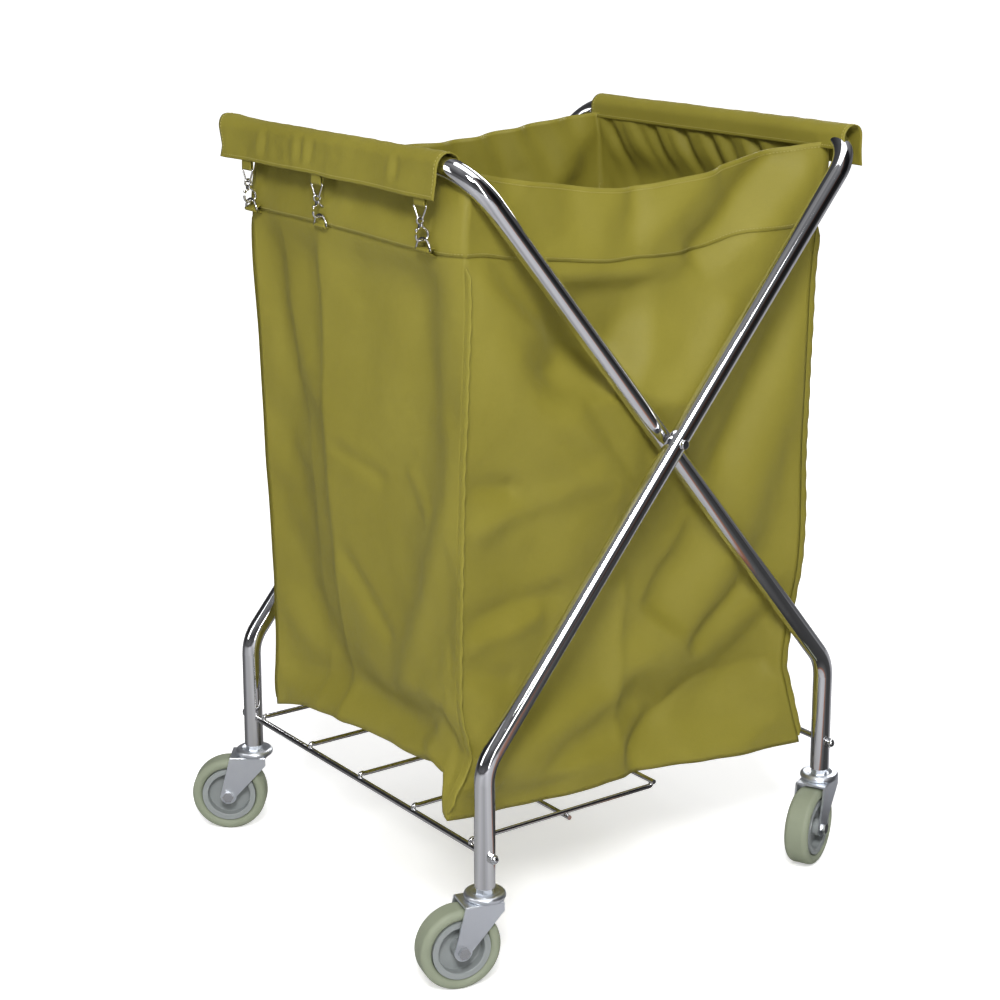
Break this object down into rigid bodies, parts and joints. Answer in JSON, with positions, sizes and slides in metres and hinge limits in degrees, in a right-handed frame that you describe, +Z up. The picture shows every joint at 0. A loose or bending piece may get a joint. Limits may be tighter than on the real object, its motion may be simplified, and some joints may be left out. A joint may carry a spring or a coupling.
{
  "type": "folding linen trolley",
  "caption": "Folding linen trolley: crossed chromed tube frames on swivel casters, sliding wire shelf and a tall open cloth bag hung from two handle bars.",
  "frame": {"origin": "on the floor, midway between the legs, under the scissor pivots", "axes": "+X from the left handle bar to the right one, +Y along the handle bars from front to back, +Z up"},
  "size_m": [0.7308, 0.6268, 0.9686],
  "materials": {
    "chromed_tube": "polished chrome",
    "chromed_wire": "polished chrome",
    "bright_fastener": "bright plated",
    "bright_clip": "bright nickel",
    "zinc_steel": "bright zinc",
    "grey_tyre": "satin grey rubber",
    "grey_hub": "satin moulded",
    "nylon": "moulded nylon",
    "olive_cloth": "coated woven cloth, slight sheen",
    "olive_webbing": "woven tape"
  },
  "bodies": {
    "left_shelf": {"left_shelf": "chromed_wire", "left_shelf_nuts": "bright_fastener"},
    "outer_frame": {"outer_frame": "chromed_tube", "outer_leg_plugs": "nylon", "pivot_bolts": "bright_fastener", "pivot_nuts": "bright_fastener", "pivot_spacers": "nylon", "front_left_caster_stem": "zinc_steel", "back_left_caster_stem": "zinc_steel"},
    "inner_frame": {"inner_frame": "chromed_tube", "inner_leg_plugs": "nylon", "front_right_caster_stem": "zinc_steel", "back_right_caster_stem": "zinc_steel"},
    "right_shelf": {"right_shelf": "chromed_wire", "right_shelf_nuts": "bright_fastener"},
    "bag": {"bag_front_panel": "olive_cloth", "bag_back_panel": "olive_cloth", "bag_floor": "olive_cloth", "bag_left_panel": "olive_cloth", "left_flap": "olive_cloth", "left_clip_straps": "olive_webbing", "left_clip_loops": "bright_clip", "left_clip_hooks": "bright_clip", "left_clip_rings": "bright_clip"},
    "bag_right_end": {"bag_right_panel": "olive_cloth", "right_flap": "olive_cloth", "right_clip_straps": "olive_webbing", "right_clip_loops": "bright_clip", "right_clip_hooks": "bright_clip", "right_clip_rings": "bright_clip"},
    "front_left_caster_fork": {"front_left_caster_fork": "zinc_steel", "front_left_caster_bearing_balls": "zinc_steel", "front_left_caster_axle_bolt": "zinc_steel", "front_left_caster_axle_nut": "zinc_steel"},
    "front_left_caster_wheel": {"front_left_caster_hub": "grey_hub", "front_left_caster_tyre": "grey_tyre"},
    "back_left_caster_fork": {"back_left_caster_fork": "zinc_steel", "back_left_caster_bearing_balls": "zinc_steel", "back_left_caster_axle_bolt": "zinc_steel", "back_left_caster_axle_nut": "zinc_steel"},
    "back_left_caster_wheel": {"back_left_caster_hub": "grey_hub", "back_left_caster_tyre": "grey_tyre"},
    "front_right_caster_fork": {"front_right_caster_fork": "zinc_steel", "front_right_caster_bearing_balls": "zinc_steel", "front_right_caster_axle_bolt": "zinc_steel", "front_right_caster_axle_nut": "zinc_steel"},
    "front_right_caster_wheel": {"front_right_caster_hub": "grey_hub", "front_right_caster_tyre": "grey_tyre"},
    "back_right_caster_fork": {"back_right_caster_fork": "zinc_steel", "back_right_caster_bearing_balls": "zinc_steel", "back_right_caster_axle_bolt": "zinc_steel", "back_right_caster_axle_nut": "zinc_steel"},
    "back_right_caster_wheel": {"back_right_caster_hub": "grey_hub", "back_right_caster_tyre": "grey_tyre"},
    "left_clip_gate_1": {"left_clip_gate_1": "bright_clip"},
    "left_clip_gate_2": {"left_clip_gate_2": "bright_clip"},
    "left_clip_gate_3": {"left_clip_gate_3": "bright_clip"},
    "right_clip_gate_1": {"right_clip_gate_1": "bright_clip"},
    "right_clip_gate_2": {"right_clip_gate_2": "bright_clip"},
    "right_clip_gate_3": {"right_clip_gate_3": "bright_clip"}
  },
  "joints": [
    {"name": "scissor_fold", "type": "hinge", "parent": "outer_frame", "child": "inner_frame", "pos_m": [0, 0, 0.61075], "axis": [0, 1, 0], "range_deg": [0, 30.4], "deforming": ["bag_front_panel", "bag_back_panel", "bag_floor"]},
    {"name": "outer_frame_lean", "type": "hinge", "parent": "left_shelf", "child": "outer_frame", "pos_m": [-0.282, 0, 0.159], "axis": [0, -1, 0], "range_deg": [0, 15.2]},
    {"name": "right_shelf_level", "type": "hinge", "parent": "inner_frame", "child": "right_shelf", "pos_m": [0.282, 0, 0.159], "axis": [0, -1, 0], "range_deg": [0, 15.2]},
    {"name": "bag_hang", "type": "hinge", "parent": "inner_frame", "child": "bag", "pos_m": [-0.282, 0, 0.9535], "axis": [0, -1, 0], "range_deg": [0, 15.2]},
    {"name": "bag_right_end_hang", "type": "hinge", "parent": "outer_frame", "child": "bag_right_end", "pos_m": [0.282, 0, 0.9535], "axis": [0, 1, 0], "range_deg": [0, 15.2]},
    {"name": "front_left_swivel", "type": "hinge", "parent": "outer_frame", "child": "front_left_caster_fork", "pos_m": [-0.282, -0.2705, 0.1], "axis": [0, 0, 1], "continuous": true},
    {"name": "front_left_wheel_spin", "type": "hinge", "parent": "front_left_caster_fork", "child": "front_left_caster_wheel", "pos_m": [-0.31517, -0.26198, 0.05], "axis": [0.2487, 0.9686, 0], "continuous": true},
    {"name": "back_left_swivel", "type": "hinge", "parent": "outer_frame", "child": "back_left_caster_fork", "pos_m": [-0.282, 0.2705, 0.1], "axis": [0, 0, 1], "continuous": true},
    {"name": "back_left_wheel_spin", "type": "hinge", "parent": "back_left_caster_fork", "child": "back_left_caster_wheel", "pos_m": [-0.30935, 0.29111, 0.05], "axis": [0.6018, 0.7986, 0], "continuous": true},
    {"name": "front_right_swivel", "type": "hinge", "parent": "inner_frame", "child": "front_right_caster_fork", "pos_m": [0.282, -0.242, 0.1], "axis": [0, 0, 1], "continuous": true},
    {"name": "front_right_wheel_spin", "type": "hinge", "parent": "front_right_caster_fork", "child": "front_right_caster_wheel", "pos_m": [0.25096, -0.25647, 0.05], "axis": [-0.4226, 0.9063, 0], "continuous": true},
    {"name": "back_right_swivel", "type": "hinge", "parent": "inner_frame", "child": "back_right_caster_fork", "pos_m": [0.282, 0.242, 0.1], "axis": [0, 0, 1], "continuous": true},
    {"name": "back_right_wheel_spin", "type": "hinge", "parent": "back_right_caster_fork", "child": "back_right_caster_wheel", "pos_m": [0.31418, 0.25371, 0.05], "axis": [0.342, -0.9397, 0], "continuous": true},
    {"name": "left_clip_gate_1_press", "type": "hinge", "parent": "bag", "child": "left_clip_gate_1", "pos_m": [-0.3002, -0.174, 0.8835], "axis": [0, -1, 0], "range_deg": [0, 20], "stiffness_Nm_per_rad": 0.01, "springref_deg": -17.19},
    {"name": "left_clip_gate_2_press", "type": "hinge", "parent": "bag", "child": "left_clip_gate_2", "pos_m": [-0.3002, 0.047, 0.8835], "axis": [0, -1, 0], "range_deg": [0, 20], "stiffness_Nm_per_rad": 0.01, "springref_deg": -17.19},
    {"name": "left_clip_gate_3_press", "type": "hinge", "parent": "bag", "child": "left_clip_gate_3", "pos_m": [-0.3002, 0.214, 0.8835], "axis": [0, -1, 0], "range_deg": [0, 20], "stiffness_Nm_per_rad": 0.01, "springref_deg": -17.19},
    {"name": "right_clip_gate_1_press", "type": "hinge", "parent": "bag_right_end", "child": "right_clip_gate_1", "pos_m": [0.3002, -0.172, 0.8835], "axis": [0, 1, 0], "range_deg": [0, 20], "stiffness_Nm_per_rad": 0.01, "springref_deg": -17.19},
    {"name": "right_clip_gate_2_press", "type": "hinge", "parent": "bag_right_end", "child": "right_clip_gate_2", "pos_m": [0.3002, 0.02, 0.8835], "axis": [0, 1, 0], "range_deg": [0, 20], "stiffness_Nm_per_rad": 0.01, "springref_deg": -17.19},
    {"name": "right_clip_gate_3_press", "type": "hinge", "parent": "bag_right_end", "child": "right_clip_gate_3", "pos_m": [0.3002, 0.168, 0.8835], "axis": [0, 1, 0], "range_deg": [0, 20], "stiffness_Nm_per_rad": 0.01, "springref_deg": -17.19}
  ],
  "couplings": [
    {"joint": "outer_frame_lean", "follows": "scissor_fold", "ratio": 0.5},
    {"joint": "right_shelf_level", "follows": "scissor_fold", "ratio": 0.5},
    {"joint": "bag_hang", "follows": "scissor_fold", "ratio": 0.5},
    {"joint": "bag_right_end_hang", "follows": "scissor_fold", "ratio": 0.5}
  ]
}
